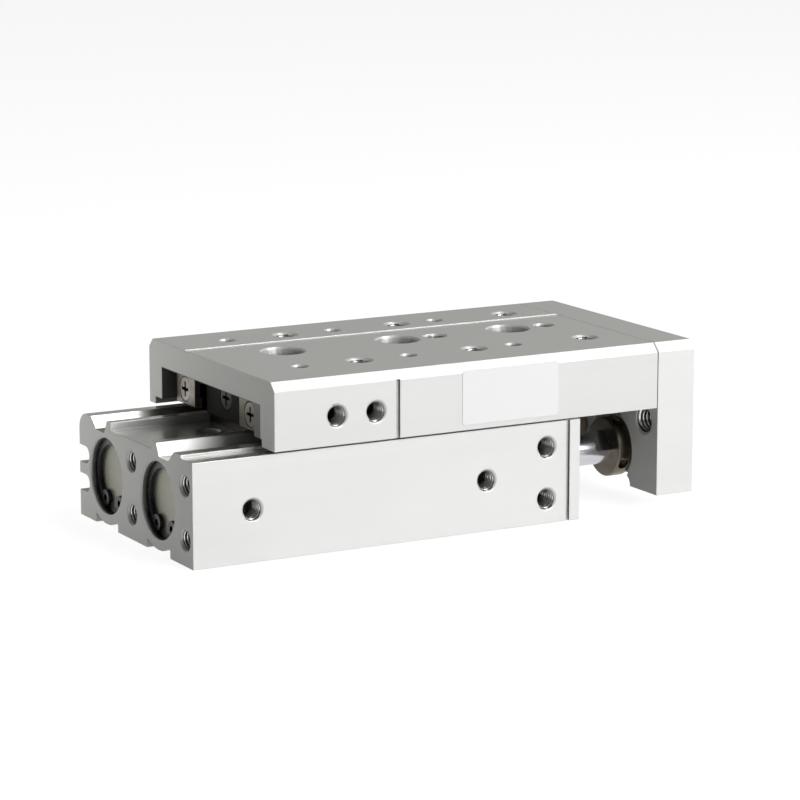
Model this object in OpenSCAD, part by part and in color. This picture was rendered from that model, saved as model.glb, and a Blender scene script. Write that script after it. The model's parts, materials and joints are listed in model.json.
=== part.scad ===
// Pneumatic slide table with twin cylinders and a crossed-roller guide.
// The body lies along X and the table slides out towards +X. Z is up.
// The origin is the mouth of the middle body bolt hole, on the base face.
// Left is the +Y side, with the sensor slots; right is the -Y side, with the ports.

/* [Body] */
// Length of the body
body_len = 99; // [97:0.5:110]
// Width of the body
body_w = 61; // [60:0.5:66]
// Height of the body at the two lands beside the channel
body_h = 25; // [24.8:0.1:25.6]
// Drop from those lands to the body's top outside its relief grooves
outer_drop = 0.4; // [0.2:0.1:0.8]
// Distance from the middle of the body's width to the guide's centre line
guide_offset = 1.5; // [1:0.25:2.5]
// Drop from those lands to the shoulder under the table's port-side wall
shoulder_drop = 1.1; // [0.9:0.1:2]
// Width of that shoulder
shoulder_w = 5.8; // [5.4:0.1:6.4]
// Radius of the long top edge on the sensor side
edge_r = 4; // [2:0.25:4.5]
// Depth of the channel that seats the guide block
channel_depth = 1.8; // [1:0.1:2]
// Width of the channel and of the block's foot
channel_w = 22; // [21.6:0.1:23]
// Depth of the two relief grooves beside the channel
groove_depth = 3; // [2:0.1:3.1]
// Width of the flat floor of a relief groove
groove_floor_w = 4.8; // [4:0.1:5.2]
// Distance from the centre line to the near side of that floor
groove_y = 14.8; // [14:0.1:15.2]
// Sideways run of a groove's inner wall
groove_slope = 1.4; // [0.8:0.1:1.6]
// Sideways run of a groove's outer wall
groove_outer_slope = 3; // [1.4:0.1:3.2]
// Width of a sensor slot
slot_w = 4; // [3:0.1:4.2]
// Wall between a sensor slot's floor and a cylinder's seat
slot_wall = 0.8; // [0.6:0.1:1.5]
// Height of the lower sensor slot's middle
slot_low_z = 8.1; // [7.5:0.1:8.5]
// Height of the upper sensor slot's middle
slot_high_z = 14.8; // [14.4:0.1:16]
// Width of the hollows under the cylinders
belly_w = 12.2; // [10:0.1:13]
// Depth of the hollows under the cylinders
belly_depth = 2; // [1.5:0.1:2.4]
// Wall left under a cylinder's seat
belly_wall = 2.5; // [2.2:0.1:2.8]

/* [Cylinders] */
// Cylinder bore
bore_d = 16; // [15:0.1:16.4]
// Distance between the cylinders
bore_pitch = 28; // [27:0.25:28.5]
// Height of the cylinders above the base
bore_z = 12; // [11.8:0.1:12.4]
// Bore of the seats that hold the head cap and the rod cover
seat_d = 17.6; // [17.2:0.1:17.8]
// Stroke of the table
stroke = 50; // [40:1:50]
// How far the table is drawn out as it is shown
drawn_out = 19; // [12:0.5:25]
// Depth from the rear face to the head ring
ring_inset = 1.4; // [1:0.1:2]
// Thickness of a retaining ring
ring_t = 1; // [0.8:0.1:1.2]
// Depth of a retaining ring's groove
ring_groove = 0.7; // [0.5:0.05:0.8]
// Radial width of a retaining ring
ring_w = 2.3; // [1.8:0.1:2.5]
// Half of the angle that a retaining ring leaves open
ring_gap = 32; // [26:1:40]
// Thickness of a head cap
cap_t = 6; // [5:0.25:7]
// Depth of the recess in front of a rod cover's ring
front_recess = 7; // [6.5:0.25:8]
// Thickness of a rod bush
bush_wall = 1.2; // [1:0.1:1.4]
// Thickness of a rod seal
seal_wall = 2.2; // [2:0.1:2.4]
// Length of a rod cover
cover_len = 10; // [9:0.25:11]
// Thickness of a rubber bumper
bumper_t = 1.6; // [1:0.1:2]
// Diameter of a head bumper's stud
bumper_stud_d = 4; // [3:0.25:4.5]
// Depth of the stud's pocket in the head cap
bumper_pocket = 2; // [1.5:0.1:2.4]
// Diameter of a piston rod
rod_d = 8; // [7:0.25:9]
// Diameter of the rod's threaded end and of its stub in the piston
stub_d = 6; // [5:0.25:6.5]
// Length of the piston's sealing land
land_len = 8; // [7.5:0.25:8.5]
// Diameter of the piston's two bosses
boss_d = 11; // [10.5:0.25:12]
// Play between a piston boss and its bumper
stop_play = 0.3; // [0.3:0.05:0.4]
// Section of the rubber rings around caps and covers
o_ring_d = 1.5; // [1.2:0.1:1.7]

/* [Table] */
// How far the table's walls stand out past the body on each side
overhang = 2; // [1:0.25:3]
// Gap between the body's shoulder and the table's wall
table_gap = 0.75; // [0.6:0.05:1]
// Thickness of the table above the guide
top_t = 6.1; // [6:0.1:6.6]
// Thickness of the table's wall on the sensor side
table_wall_t = 7; // [6.6:0.1:7.4]
// Width of the step cut into each wall's lower edge
step_w = 3.7; // [3.2:0.1:4]
// Height of that step
step_h = 1.75; // [1.2:0.05:2]
// Chamfer on the long top edges
top_chamfer = 2; // [1:0.1:2.5]
// Depth of the line cut along the table top
line_depth = 0.3; // [0.2:0.05:0.5]
// Distance from the centre line to that line
line_y = 10.9; // [8:0.1:12]
// Width of the line cut along the table top
line_w = 0.6; // [0.4:0.05:0.8]

/* [End plate] */
// Thickness of the end plate
plate_t = 10; // [9.5:0.25:12]
// Gap between the body's front and the end plate when the table is fully in
plate_gap = 1; // [0.5:0.25:2]
// Clearance under the end plate
plate_clear = 3.7; // [3:0.1:4]
// Height of the arch between the plate's legs
arch_h = 2.5; // [1.5:0.1:2.6]
// Width of each leg
leg_w = 11.5; // [9:0.25:12]
// Corner radius of the arch
arch_r = 2.3; // [1:0.1:2.5]
// Diameter of a rod collar
collar_d = 14.3; // [13:0.1:14.8]
// How far a rod collar stands out of the end plate
collar_t = 2.2; // [1.5:0.1:2.6]
// Diameter of the recess that a collar sits in
collar_recess_d = 18.4; // [16:0.1:19]
// Depth of that recess
collar_recess = 1.6; // [1:0.1:2.4]
// Diameter of the spanner holes in a collar's rim
spanner_d = 2.6; // [2:0.1:2.8]
// Diameter of a collar's spigot in the end plate
spigot_d = 10; // [9:0.1:10.5]
// Distance from the end plate's rear face to the spigot's front end
spigot_len = 5; // [4:0.1:5.2]
// Diameter of the pad on the end plate that meets the body
pad_d = 7.4; // [6:0.1:8]
// How far the pad stands out of the end plate
pad_t = 0.6; // [0.3:0.05:0.7]
// Height of the pad
pad_z = 15.4; // [14:0.1:16]
// Diameter of the recess that hides a rod nut
nut_recess_d = 15; // [14:0.25:16]
// Distance from the guide's centre line to each of the end plate's top bolts
top_bolt_y = 10; // [9:0.25:10.5]
// Length of the end plate's bolts under the head
plate_bolt_len = 10; // [8:0.25:10]
// Thickness of the washer under a rod nut
washer_t = 1; // [0.6:0.1:1]
// Height of a rod nut
nut_h = 3.6; // [3:0.1:3.7]
// Length of the wrench flats on a rod
flat_len = 4.5; // [3:0.25:5]
// Width across the wrench flats
flat_across = 5.8; // [5.6:0.1:7]
// Turn of the wrench flats about the rod
flat_turn = -43; // [-60:1:60]

/* [Guide] */
// Distance between a groove's loaded faces
race = 3; // [2.6:0.1:3.2]
// Half of the width of the guide block at its races
block_half_w = 10.5; // [10:0.1:10.6]
// Distance from the body's rear face to the guide block
block_inset = 25; // [24.5:0.25:27]
// Distance from the guide block to the body's front face
block_front_inset = 4; // [3.5:0.25:5]
// Clearance between the guide block and the table above it
block_top_gap = 0.7; // [0.5:0.05:1]
// Gap between the guide block and a rail
rail_gap = 0.9; // [0.8:0.05:1.2]
// Gap between a rail's outer side and the table's wall
rail_side_gap = 2.2; // [1.8:0.1:2.6]
// Distance from a rail's outer side to its bolts
rail_bolt_side = 3.3; // [3.2:0.1:3.8]
// Metal left above the ends of the rail bolts
rail_bolt_cover = 1.5; // [1:0.1:2]
// Height of a rail
rail_h = 7.8; // [7.4:0.1:8]
// Gap between the body's lands and the rails
rail_lift = 1.1; // [0.9:0.1:1.5]
// Distance from each end of the table to the rails
rail_inset = 4; // [3.5:0.25:5]
// Thickness of the end stops on the rails
stop_t = 1.5; // [1:0.1:2]
// Height of an end stop
stop_h = 7; // [6.5:0.1:7.4]
// Thickness of the wipers on the guide block's ends
wiper_t = 1.2; // [0.8:0.1:1.5]
// Distance from the block's rear end to its first bolt
block_bolt_inset = 10; // [9:0.25:11]
// Distance between the middle two of the block's bolts
block_bolt_pair = 11; // [10:0.25:12]
// Depth of the block's bolts in the body
block_bolt_depth = 9; // [7:0.25:9.5]
// Play around each roller
roller_play = 0.05; // [0.03:0.01:0.08]
// Number of rollers in each cage
roller_count = 9; // [5:1:9]
// Distance between rollers
roller_pitch = 4.2; // [4:0.1:4.4]
// Thickness of a roller cage
cage_t = 0.5; // [0.3:0.05:0.5]
// Height of a roller cage
cage_h = 6.4; // [6:0.1:6.6]

/* [Mounting holes] */
// Distance from each end of the body to its nearest bolt hole
bolt_inset = 19.5; // [19:0.25:20]
// Diameter of the body's bolt holes
bolt_hole_d = 5.5; // [5.2:0.1:5.8]
// Diameter of the access holes in the table
access_d = 10.6; // [10:0.1:11]
// Distance from an access hole to the next row of work holes
work_step = 10; // [9.5:0.25:11]
// Diameter of a locating hole
pin_d = 5; // [4:0.1:5]
// Length of the locating slot
pin_slot_len = 6; // [5.2:0.1:6.4]
// Depth of the locating holes
pin_depth = 4.5; // [3:0.25:5]
// Diameter of the locating holes in the base
base_pin_d = 4; // [3:0.1:4]
// Depth of the locating holes in the base
base_pin_depth = 4; // [3:0.25:4.5]
// Distance from the table's rear end to its first rail bolt
rail_bolt_inset = 14.4; // [13:0.1:14.8]
// Distance between rail bolts
rail_bolt_pitch = 27.8; // [27.5:0.1:28.5]
// Height of the end plate's work holes
plate_hole_z = 20.7; // [20:0.1:21.5]
// Distance from the end plate's sides to its work holes
plate_hole_side = 6; // [5.5:0.25:6.5]

/* [Ports and side holes] */
// Height of the pair of holes at each end of the body, from the lower to the upper one
end_hole_rise = 12.2; // [11.5:0.1:12.4]
// Depth of the holes in the body's rear face
end_hole_depth = 10; // [8:0.25:11]
// Distance from the rear face to the rear port
rear_port_inset = 14.5; // [14:0.1:15]
// Distance from the front face to the front port
front_port_inset = 25; // [24:0.1:25.5]
// Depth of a port's thread
port_depth = 5.5; // [4.5:0.1:6]
// Diameter of the air passage
passage_d = 2; // [1.5:0.1:2.1]
// Distance from the front face to the body's side holes
side_hole_inset = 9; // [8:0.1:10]
// Depth of the side holes
side_hole_depth = 7; // [6:0.1:7.5]
// Distance from the table's rear end to its first side hole
table_side_inset = 15.5; // [14:0.1:17]
// Distance between the table's side holes
table_side_pitch = 9.8; // [9:0.1:10.5]
// Height of the table's side holes
table_side_z = 31.3; // [31:0.1:32]
// Distance from the body's front face to its key groove
body_key_inset = 3.25; // [2.5:0.05:4]
// Distance from the table's rear end to its key groove
table_key_inset = 30.9; // [29:0.1:33]
// Width of a key groove
key_w = 0.9; // [0.6:0.05:1.2]
// Depth of a key groove
key_depth = 0.6; // [0.3:0.05:0.8]

/* [Fits] */
// Play between a moving round piece and its bore
run_play = 0.05; // [0.03:0.01:0.08]
// Play around a piece that stays in its seat
seat_play = 0.03; // [0.02:0.01:0.05]
// Play around the bolts' heads
head_play = 0.15; // [0.1:0.05:0.2]

/* [Hidden] */
$fn = 48;
eps = 0.01;

// Screw sizes: shank, head diameter, head height and, for the cap screws, key across flats.
M3_FLAT = [3, 5.6, 1.1];
M3_CAP = [3, 5.5, 3, 2.5];
M4_SLIM = [4, 5.5, 3.6, 2.5];
// Tapped holes: drilled diameter and rim of the countersink.
M5_TAP = [4.2, 5.4];
M6_TAP = [5, 6.4];
M6_END_TAP = [5, 7];

// Body
rear_x = -body_len/2;
front_x = rear_x + body_len;
right_y = -(body_w/2 + guide_offset);
left_y = body_w/2 - guide_offset;
outer_h = body_h - outer_drop;
shoulder_h = body_h - shoulder_drop;
channel_z = body_h - channel_depth;
bore_y = [-bore_pitch/2, bore_pitch/2];
slot_depth = left_y - bore_y[1] - seat_d/2 - slot_wall;
belly_r = seat_d/2 + belly_wall;
bolt_pitch = body_len/2 - bolt_inset;
bolt_x = [for (i = [0:2]) rear_x + bolt_inset + i*bolt_pitch];
end_hole_z = [bore_z - end_hole_rise/2, bore_z + end_hole_rise/2];
port_x = [rear_x + rear_port_inset, front_x - front_port_inset];
base_pin_x = bolt_pitch/2;

// Stack of pieces in each cylinder, from the rear face forwards
head_ring_x = rear_x + ring_inset;
cap_x = head_ring_x + ring_t;
cap_end_x = cap_x + cap_t;
cover_end_x = front_x - front_recess - ring_t;
cover_x = cover_end_x - cover_len;
front_ring_x = cover_end_x;
// The piston's length follows from the stroke between the two bumpers.
piston_len = cover_x - cap_end_x - 2*bumper_t - 2*stop_play - stroke;
piston_x = cap_end_x + bumper_t + stop_play + drawn_out;
piston_end_x = piston_x + piston_len;
land_x = piston_x + (piston_len - land_len)/2;
piston_r = bore_d/2 - run_play;
rod_bore_r = rod_d/2 + run_play;
seated_r = seat_d/2 - seat_play;
o_ring_groove_w = 1.2*o_ring_d;
cap_ring_x = cap_x + cap_t/3;
cover_ring_x = cover_x + cover_len/3;

// Table. The heights of the body, rails and table top add up to the overall height.
total_h = body_h + rail_lift + rail_h + top_t;
table_len = body_len + plate_gap;
table_w = body_w + 2*overhang;
table_x = rear_x + drawn_out;
table_end_x = table_x + table_len;
table_right_y = right_y - overhang;
table_left_y = left_y + overhang;
// Half of the width between the table's walls
inner_half_w = table_left_y - table_wall_t;
table_z = shoulder_h + table_gap;
ceiling_z = total_h - top_t;
access_x = [for (i = [0:2]) table_x + bolt_inset + i*bolt_pitch];
work_x = [for (x = access_x) x + work_step];
rail_bolt_x = [for (i = [0:2]) table_x + rail_bolt_inset + i*rail_bolt_pitch];
table_side_x = [for (i = [0:1]) table_x + table_side_inset + i*table_side_pitch];

// End plate
plate_end_x = table_end_x + plate_t;
collar_x = table_end_x - collar_t;
collar_base_x = table_end_x + collar_recess;
nut_recess_x = table_end_x + spigot_len;
nut_x = nut_recess_x + washer_t;
plate_hole_y = [table_right_y + plate_hole_side, table_left_y - plate_hole_side];
// The plate is held by a bolt in each wall and a pair in the table's top.
wall_bolt_z = (table_z + ceiling_z)/2 + 1;
right_wall_y = (table_right_y - inner_half_w)/2;
left_wall_y = (table_left_y + inner_half_w)/2;
top_bolt_z = total_h - M4_SLIM[1]/2 - head_play - 0.6;
plate_bolt_at = [[right_wall_y, wall_bolt_z], [left_wall_y, wall_bolt_z],
                 [-top_bolt_y, top_bolt_z], [top_bolt_y, top_bolt_z]];
plate_bolt_head_x = plate_end_x - M4_SLIM[2] - 2*head_play;

// Guide
block_x = rear_x + block_inset;
block_end_x = front_x - block_front_inset;
block_top_z = ceiling_z - block_top_gap;
rail_y = block_half_w + rail_gap;
rail_w = inner_half_w - rail_side_gap - rail_y;
// The rail bolts and the work holes share two rows over the rails.
work_row_y = rail_y + rail_w - rail_bolt_side;
work_y = [-work_row_y, work_row_y];
rail_x = table_x + rail_inset;
rail_end_x = table_end_x - rail_inset;
rail_z = ceiling_z - rail_h;
guide_z = ceiling_z - rail_h/2;
race_mid_y = block_half_w + rail_gap/2;
// The tips of the two facing grooves stand one roller apart, on the square's diagonal.
tip_reach = race/sqrt(2);
roller_d = race - 2*roller_play;
roller_len = roller_d - 0.1;
cage_len = (roller_count - 1)*roller_pitch + roller_d + 1.5;
// The cages move half as far as the table. They stand midway between the rails' rear
// ends and the block's front end, so they stay on both at every position.
cage_mid_x = (rail_x + block_end_x)/2;
// The block's own bolts stand clear of the holes that let the body's bolts through.
block_bolt_head_z = block_top_z - M3_CAP[2] - 0.4;
between_x = (bolt_x[1] + bolt_x[2])/2;
bolt_side_step = access_d/2 + M3_CAP[1]/2 + head_play + 0.8;
block_bolt_x = [block_x + block_bolt_inset,
                between_x - block_bolt_pair/2, between_x + block_bolt_pair/2,
                bolt_x[2] + bolt_side_step];
rail_bolt_head_z = rail_z + head_play;
rail_bolt_end_z = total_h - rail_bolt_cover;
wiper_z = guide_z + 0.4;
wiper_screw_len = 4.5;
stop_screw_len = 5;
stop_y = rail_y + 0.2;
stop_w = rail_w - 0.8;
stop_z = rail_z + 0.2;
stop_screw_y = stop_y + stop_w/2 + 0.5;
stop_mid_z = stop_z + stop_h/2;

// ---------- Building blocks ----------

// A flat outline drawn in Y and Z, drawn out along X from x0 to x1.
module along_x(x0, x1) {
    translate([x0, 0, 0]) rotate([90, 0, 90]) linear_extrude(x1 - x0) children();
}

// A round bar along X.
module bar_x(r, x0, x1, y = 0, z = 0) {
    translate([x0, y, z]) rotate([0, 90, 0]) cylinder(r = r, h = x1 - x0);
}

// A round tube along X.
module tube_x(r_out, r_in, x0, x1, y, z) {
    difference() {
        bar_x(r_out, x0, x1, y, z);
        bar_x(r_in, x0 - eps, x1 + eps, y, z);
    }
}

// A cone along X, from radius r0 at x0 to radius r1 at x1.
module cone_x(r0, r1, x0, x1, y, z) {
    translate([x0, y, z]) rotate([0, 90, 0]) cylinder(r1 = r0, r2 = r1, h = x1 - x0);
}

// A rubber ring of round section around X.
module o_ring_x(r_out, section_d, x, y, z) {
    translate([x, y, z]) rotate([0, 90, 0]) rotate_extrude()
        translate([r_out - section_d/2, 0]) circle(d = section_d, $fn = 24);
}

// A tapped hole that opens towards +Z at the origin: drilled bore and countersunk rim.
module tapped_hole(tap, depth) {
    rim = (tap[1] - tap[0])/2;
    translate([0, 0, -depth]) cylinder(d = tap[0], h = depth + eps);
    translate([0, 0, -rim]) cylinder(d1 = tap[0], d2 = tap[1], h = rim);
    cylinder(d = tap[1], h = eps);
}

// A cap screw along Z: its head stands on z = 0 and its shank points down.
module screw(size, len) {
    difference() {
        union() {
            cylinder(d = size[1], h = size[2]);
            translate([0, 0, -len]) cylinder(d = size[0], h = len + eps);
        }
        translate([0, 0, size[2]/2]) cylinder(d = size[3]/cos(30), h = size[2], $fn = 6);
    }
}

// A countersunk screw along Z: its head lies just under z = 0 and its tip is at -len.
flat_sink = 0.1;
flat_rim = 0.2;
module flat_screw(size, len) {
    cross_len = size[1]*0.62;
    cross_w = size[1]/8;
    translate([0, 0, -flat_sink]) difference() {
        union() {
            translate([0, 0, -flat_rim]) cylinder(d = size[1], h = flat_rim);
            translate([0, 0, -size[2]])
                cylinder(d1 = size[0], d2 = size[1], h = size[2] - flat_rim + eps);
            translate([0, 0, flat_sink - len])
                cylinder(d = size[0], h = len - flat_sink - size[2] + eps);
        }
        for (turn = [0, 90]) rotate(turn)
            translate([-cross_len/2, -cross_w/2, -size[2]*0.8])
                cube([cross_len, cross_w, size[2]]);
        translate([0, 0, -size[2]*0.8]) cylinder(d = size[1]*0.3, h = size[2], $fn = 4);
    }
}

// The countersunk hole for such a screw, with a little room round the head.
module flat_hole(size, len) {
    translate([0, 0, -len]) cylinder(d = size[0], h = len + 1);
    translate([0, 0, -flat_sink - size[2]])
        cylinder(d1 = size[0], d2 = size[1] + 2*head_play, h = size[2] - flat_rim);
    translate([0, 0, -flat_sink - flat_rim - eps])
        cylinder(d = size[1] + 2*head_play, h = total_h);
}

// The hole that a screw needs, with its counterbore open upwards.
module screw_hole(size, len) {
    translate([0, 0, -len]) cylinder(d = size[0], h = len + eps);
    cylinder(d = size[1] + 2*head_play, h = total_h);
}

// Turns a piece that points along Z so that it points along X.
module to_plus_x() { rotate([0, 90, 0]) children(); }
module to_minus_x() { rotate([0, -90, 0]) children(); }
// Turns a piece that points along Z so that it points along -Y, out of the port side.
module to_minus_y() { rotate([90, 0, 0]) children(); }

module color_alloy() { color([0.82, 0.83, 0.84]) children(); }
module color_steel() { color([0.62, 0.62, 0.60]) children(); }
module color_chrome() { color([0.86, 0.86, 0.90]) children(); }
module color_dark() { color([0.16, 0.16, 0.17]) children(); }
module color_rubber() { color([0.10, 0.10, 0.10]) children(); }
module color_cap() { color([0.56, 0.55, 0.48]) children(); }

// ---------- Body ----------

// Relief groove between the channel and the table's wall, with sloping walls.
module relief_groove_outline() {
    polygon([[groove_y, body_h - groove_depth],
             [groove_y + groove_floor_w, body_h - groove_depth],
             [groove_y + groove_floor_w + groove_outer_slope, outer_h],
             [groove_y + groove_floor_w + groove_outer_slope, body_h + eps],
             [groove_y - groove_slope, body_h + eps]]);
}

// Sensor slot with a round floor, open to the left side.
module sensor_slot_outline(z) {
    floor_y = left_y - slot_depth + slot_w/2;
    translate([floor_y, z]) circle(d = slot_w);
    translate([floor_y, z - slot_w/2]) square([slot_depth, slot_w]);
}

// Hollow under a cylinder, with the cylinder's round wall bulging into it.
module belly_outline(y) {
    difference() {
        translate([y - belly_w/2, -eps]) square([belly_w, belly_depth + eps]);
        translate([y, bore_z]) circle(r = belly_r);
    }
}

module body_outline() {
    difference() {
        union() {
            translate([right_y, 0]) square([body_w - edge_r, outer_h]);
            translate([right_y, 0]) square([body_w, outer_h - edge_r]);
            translate([left_y - edge_r, outer_h - edge_r]) circle(r = edge_r);
            translate([-groove_y, 0]) square([2*groove_y, body_h]);
        }
        translate([right_y - eps, shoulder_h]) square([shoulder_w + eps, body_h]);
        translate([-channel_w/2, channel_z]) square([channel_w, body_h]);
        for (side = [0, 1]) mirror([side, 0]) relief_groove_outline();
        for (z = [slot_low_z, slot_high_z]) sensor_slot_outline(z);
        for (y = bore_y) belly_outline(y);
    }
}

// Everything cut for one cylinder: bore, seats, ring grooves and rim chamfers.
module cylinder_cuts(y) {
    rim = 0.3;
    bar_x(bore_d/2, rear_x - 1, front_x + 1, y, bore_z);
    bar_x(seat_d/2, rear_x - 1, cap_end_x, y, bore_z);
    bar_x(seat_d/2, cover_x, front_x + 1, y, bore_z);
    bar_x(seat_d/2 + ring_groove, head_ring_x, head_ring_x + ring_t, y, bore_z);
    bar_x(seat_d/2 + ring_groove, front_ring_x, front_ring_x + ring_t, y, bore_z);
    cone_x(seat_d/2 + rim, seat_d/2, rear_x, rear_x + rim, y, bore_z);
    cone_x(seat_d/2, seat_d/2 + rim, front_x - rim, front_x, y, bore_z);
}

// A port: thread at the right side, then a passage through to the far cylinder.
module port_cuts(x) {
    translate([x, right_y, bore_z]) to_minus_y() tapped_hole(M5_TAP, port_depth);
    translate([x, bore_y[1], bore_z]) to_minus_y()
        cylinder(d = passage_d, h = bore_y[1] - right_y - port_depth/2);
}

module body() color_alloy() difference() {
    along_x(rear_x, front_x) body_outline();
    for (y = bore_y) cylinder_cuts(y);
    for (x = port_x) port_cuts(x);
    for (x = bolt_x) translate([x, 0, -1]) cylinder(d = bolt_hole_d, h = total_h);
    for (z = end_hole_z) {
        for (y = [0, -bore_pitch])
            translate([rear_x, y, z]) to_minus_x() tapped_hole(M5_TAP, end_hole_depth);
        translate([front_x - side_hole_inset, right_y, z])
            to_minus_y() tapped_hole(M5_TAP, side_hole_depth);
    }
    for (x = block_bolt_x)
        translate([x, 0, channel_z - block_bolt_depth]) cylinder(d = M3_CAP[0], h = total_h);
    translate([-base_pin_x, 0, -1]) cylinder(d = base_pin_d, h = base_pin_depth + 1);
    for (dx = [-0.5, 0.5])
        translate([base_pin_x + dx, 0, -1]) cylinder(d = base_pin_d, h = base_pin_depth + 1);
    translate([base_pin_x - 0.5, -base_pin_d/2, -1]) cube([1, base_pin_d, base_pin_depth + 1]);
    translate([front_x - body_key_inset - key_w/2, right_y - 1, -1])
        cube([key_w, key_depth + 1, total_h]);
}

// ---------- Pieces in the cylinders ----------

// Disc with a rubber ring's groove and a pocket for the bumper's stud.
module head_cap(y) color_cap() difference() {
    bar_x(seated_r, cap_x, cap_end_x, y, bore_z);
    tube_x(seat_d, seat_d/2 - o_ring_d, cap_ring_x, cap_ring_x + o_ring_groove_w, y, bore_z);
    bar_x(bumper_stud_d/2, cap_end_x - bumper_pocket, cap_end_x + 1, y, bore_z);
}

// Internal retaining ring: open at the bottom, with two lugs that take the pliers.
module retaining_ring(x, y) color_dark() translate([x, y, bore_z]) along_x(0, ring_t) {
    outer = seat_d/2 + ring_groove - seat_play;
    lug_r = 1.9;
    lug_at = outer - ring_w - 0.1;
    difference() {
        union() {
            difference() {
                circle(r = outer);
                circle(r = outer - ring_w);
                polygon([[0, 0], 2*outer*[-tan(ring_gap), -1], 2*outer*[tan(ring_gap), -1]]);
            }
            intersection() {
                circle(r = outer);
                for (side = [-1, 1])
                    rotate(side*(ring_gap + 1)) translate([0, -lug_at]) circle(r = lug_r);
            }
        }
        for (side = [-1, 1])
            rotate(side*(ring_gap + 1)) translate([0, -lug_at]) circle(r = 0.8);
    }
}

module head_o_rings() color_rubber() for (y = bore_y)
    o_ring_x(seated_r, o_ring_d - 2*seat_play, cap_ring_x + o_ring_groove_w/2, y, bore_z);

// Rubber disc on the inner face of a head cap, with a stud in the cap's pocket.
module head_bumpers() color_rubber() for (y = bore_y) {
    bar_x(boss_d/2 - 0.5, cap_end_x, cap_end_x + bumper_t, y, bore_z);
    bar_x(bumper_stud_d/2 - seat_play, cap_end_x - bumper_pocket + head_play, cap_end_x + eps,
          y, bore_z);
}

// Bush and seal seats open into the rod cover from its two ends.
cover_bush_len = 5;
cover_seal_len = 3;
cover_bush_r = rod_d/2 + bush_wall;
cover_seal_r = rod_d/2 + seal_wall;

module rod_cover(y) color_cap() difference() {
    bar_x(seated_r, cover_x, cover_end_x, y, bore_z);
    bar_x(rod_bore_r + 0.2, cover_x - 1, cover_end_x + 1, y, bore_z);
    bar_x(cover_bush_r, cover_x - 1, cover_x + cover_bush_len, y, bore_z);
    bar_x(cover_seal_r, cover_end_x - cover_seal_len, cover_end_x + 1, y, bore_z);
    tube_x(seat_d, seat_d/2 - o_ring_d, cover_ring_x, cover_ring_x + o_ring_groove_w, y, bore_z);
}

module cover_rings() for (y = bore_y) retaining_ring(front_ring_x, y);

module cover_o_rings() color_rubber() for (y = bore_y)
    o_ring_x(seated_r, o_ring_d - 2*seat_play, cover_ring_x + o_ring_groove_w/2, y, bore_z);

module rod_bushes() color([0.62, 0.47, 0.25]) for (y = bore_y)
    tube_x(cover_bush_r - seat_play, rod_bore_r, cover_x, cover_x + cover_bush_len, y, bore_z);

// Rod seal with a hollow between its lips.
module rod_seals() color_rubber() for (y = bore_y) difference() {
    tube_x(cover_seal_r - seat_play, rod_bore_r, cover_end_x - cover_seal_len, cover_end_x,
           y, bore_z);
    tube_x(cover_seal_r - 0.6, rod_bore_r + 0.5, cover_end_x - 0.8, cover_end_x + 1, y, bore_z);
}

module cover_bumpers() color_rubber() for (y = bore_y)
    tube_x(boss_d/2 + bush_wall, cover_bush_r - 0.5, cover_x - bumper_t, cover_x, y, bore_z);

// ---------- Moving pieces in the cylinders ----------

seal_groove_r = piston_r - 1.6;
seal_x = land_x + 1;
seal_len = 2;
magnet_x = seal_x + seal_len + 1;
magnet_len = 2.6;

module piston(y) color_alloy() difference() {
    union() {
        bar_x(boss_d/2, piston_x, piston_end_x, y, bore_z);
        bar_x(piston_r, land_x, land_x + land_len, y, bore_z);
    }
    bar_x(stub_d/2, piston_x - 1, piston_end_x + 1, y, bore_z);
    tube_x(bore_d, seal_groove_r, seal_x, seal_x + seal_len, y, bore_z);
    tube_x(bore_d, seal_groove_r, magnet_x, magnet_x + magnet_len, y, bore_z);
}

module piston_seals() color_rubber() for (y = bore_y)
    tube_x(piston_r + run_play/2, seal_groove_r, seal_x, seal_x + seal_len, y, bore_z);

module piston_magnets() color([0.25, 0.25, 0.27]) for (y = bore_y)
    tube_x(piston_r - 0.3, seal_groove_r, magnet_x, magnet_x + magnet_len, y, bore_z);

// Chromed rod: stub in the piston, wrench flats behind the collar, threaded end in the nut.
module piston_rod(y) color_chrome() {
    difference() {
        bar_x(rod_d/2, piston_end_x, collar_x, y, bore_z);
        translate([collar_x - flat_len, y, bore_z]) rotate([flat_turn, 0, 0])
            for (side = [-1, 1])
                translate([0, side*(flat_across/2 + rod_d/2) - rod_d/2, -rod_d])
                    cube([flat_len + 1, rod_d, 2*rod_d]);
    }
    bar_x(stub_d/2, piston_x, piston_end_x + eps, y, bore_z);
    bar_x(stub_d/2, collar_x - eps, nut_x + nut_h, y, bore_z);
}

// ---------- Guide on the body ----------

// Vee groove with a relief slot at its tip; the mouth faces +Y from the given face.
module race_outline(face_y) {
    tip_y = race_mid_y - tip_reach;
    translate([0, guide_z])
        polygon([[tip_y, 0], [tip_y + tip_reach, tip_reach], [tip_y + tip_reach, -tip_reach]]);
    translate([tip_y - 0.3, guide_z - 0.35]) square([0.8, 0.7]);
    translate([face_y - eps, guide_z - tip_reach]) square([tip_reach, 2*tip_reach]);
}

module guide_block_outline() {
    difference() {
        union() {
            translate([-channel_w/2, channel_z]) square([channel_w, channel_depth + 0.4]);
            translate([-block_half_w, channel_z]) square([2*block_half_w, block_top_z - channel_z]);
        }
        for (side = [0, 1]) mirror([side, 0]) race_outline(block_half_w);
    }
}

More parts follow.
